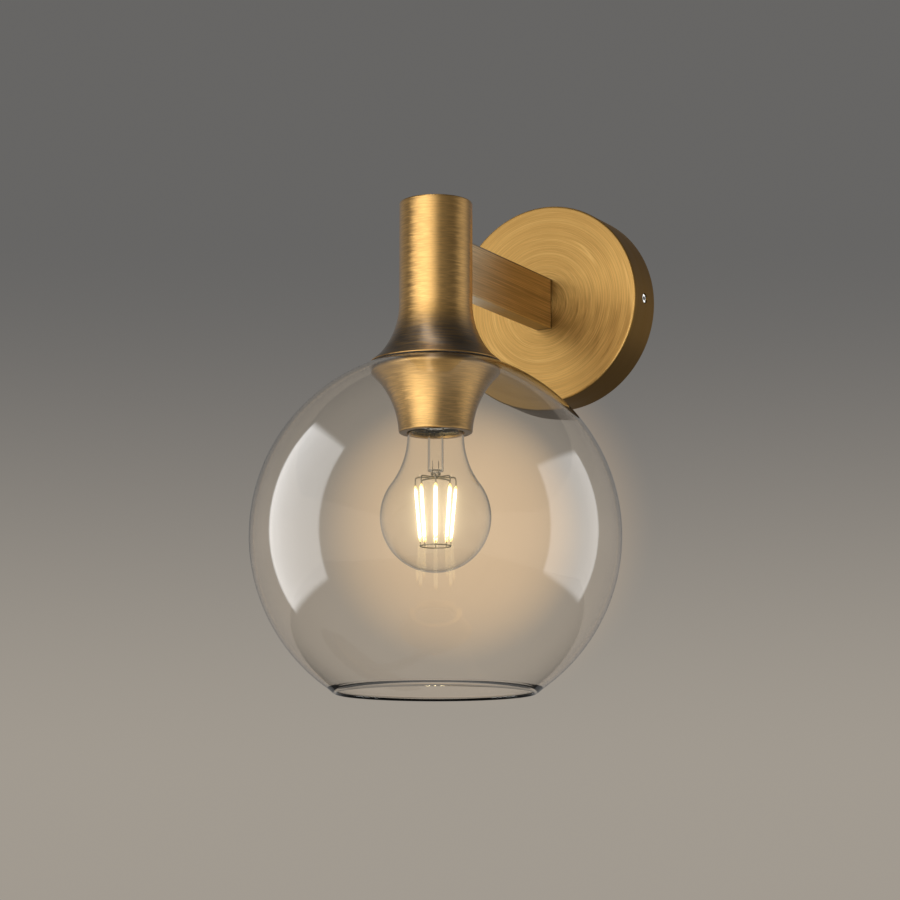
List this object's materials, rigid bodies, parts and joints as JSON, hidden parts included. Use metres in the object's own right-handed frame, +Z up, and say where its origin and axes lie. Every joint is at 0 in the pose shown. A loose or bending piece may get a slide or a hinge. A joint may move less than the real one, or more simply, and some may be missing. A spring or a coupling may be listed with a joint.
{
  "type": "globe wall sconce",
  "caption": "Wall light with a round canopy, flat bar arm, upright flared tube, open clear glass globe and a screw-in filament bulb.",
  "frame": {"origin": "centre of the canopy and of the bracket's two wall screws, on the wall plane", "axes": "+Y into the wall, +Z up, +X to the right for someone facing the wall"},
  "size_m": [0.2, 0.258, 0.2976],
  "materials": {
    "brushed_brass": "brushed antique gold brass, lacquered",
    "raw_brass": "plain machined brass",
    "zinc_steel": "zinc plated steel",
    "nickel": "nickel plated",
    "clear_glass": "clear blown glass",
    "bulb_glass": "clear bulb glass",
    "black_glass": "dark vitrite insulator",
    "led_phosphor": "phosphor coated light strip, lit",
    "silicone": "dark silicone",
    "white_ceramic": "white glazed steatite",
    "black_plastic": "black heat resistant plastic",
    "white_plastic": "white plastic",
    "green_board": "circuit board",
    "brown_sleeve": "brown insulation",
    "blue_sleeve": "blue insulation",
    "green_sleeve": "green and yellow insulation"
  },
  "bodies": {
    "fixture": {"wall_bracket": "zinc_steel", "canopy": "brushed_brass", "canopy_lock_screws": "zinc_steel", "arm_backing_plate": "zinc_steel", "arm_root_screws": "zinc_steel", "arm": "brushed_brass", "arm_root_block": "raw_brass", "arm_body_block": "raw_brass", "arm_saddle": "zinc_steel", "arm_body_screws": "zinc_steel", "body_tube": "brushed_brass", "top_cap": "brushed_brass", "bulkhead": "zinc_steel", "nipple": "zinc_steel", "nipple_nuts": "zinc_steel", "lampholder_cap": "black_plastic", "lampholder_skirt": "black_plastic", "lampholder_insert": "white_ceramic", "lampholder_shell": "nickel", "centre_contact": "raw_brass", "lampholder_terminals": "raw_brass", "upper_gasket": "silicone", "globe": "clear_glass", "lower_gasket": "silicone", "cup": "brushed_brass", "cup_sleeve": "raw_brass", "terminal_block": "white_plastic", "terminal_screws": "zinc_steel", "block_fixing_screw": "zinc_steel", "earth_screw": "raw_brass", "earth_lug": "nickel", "live_lead": "brown_sleeve", "neutral_lead": "blue_sleeve", "earth_lead": "green_sleeve"},
    "bulb_end": {"bulb_insulator": "black_glass", "bulb_contact_tip": "nickel"},
    "bulb": {"bulb_cap": "nickel", "bulb_glass": "bulb_glass", "bulb_stem": "bulb_glass", "bulb_support_wires": "nickel", "led_filaments": "led_phosphor", "filament_ring": "nickel", "bulb_driver": "green_board"}
  },
  "joints": [
    {"name": "bulb_travel", "type": "slide", "parent": "fixture", "child": "bulb_end", "axis": [0, 0, -1], "range_m": [0, 0.01814]},
    {"name": "bulb_turn", "type": "hinge", "parent": "bulb_end", "child": "bulb", "pos_m": [0, -0.158, -0.08], "axis": [0, 0, -1], "range_deg": [0, 1800]}
  ],
  "couplings": [
    {"joint": "bulb_turn", "follows": "bulb_travel", "rad_per_m": 1731.4}
  ]
}
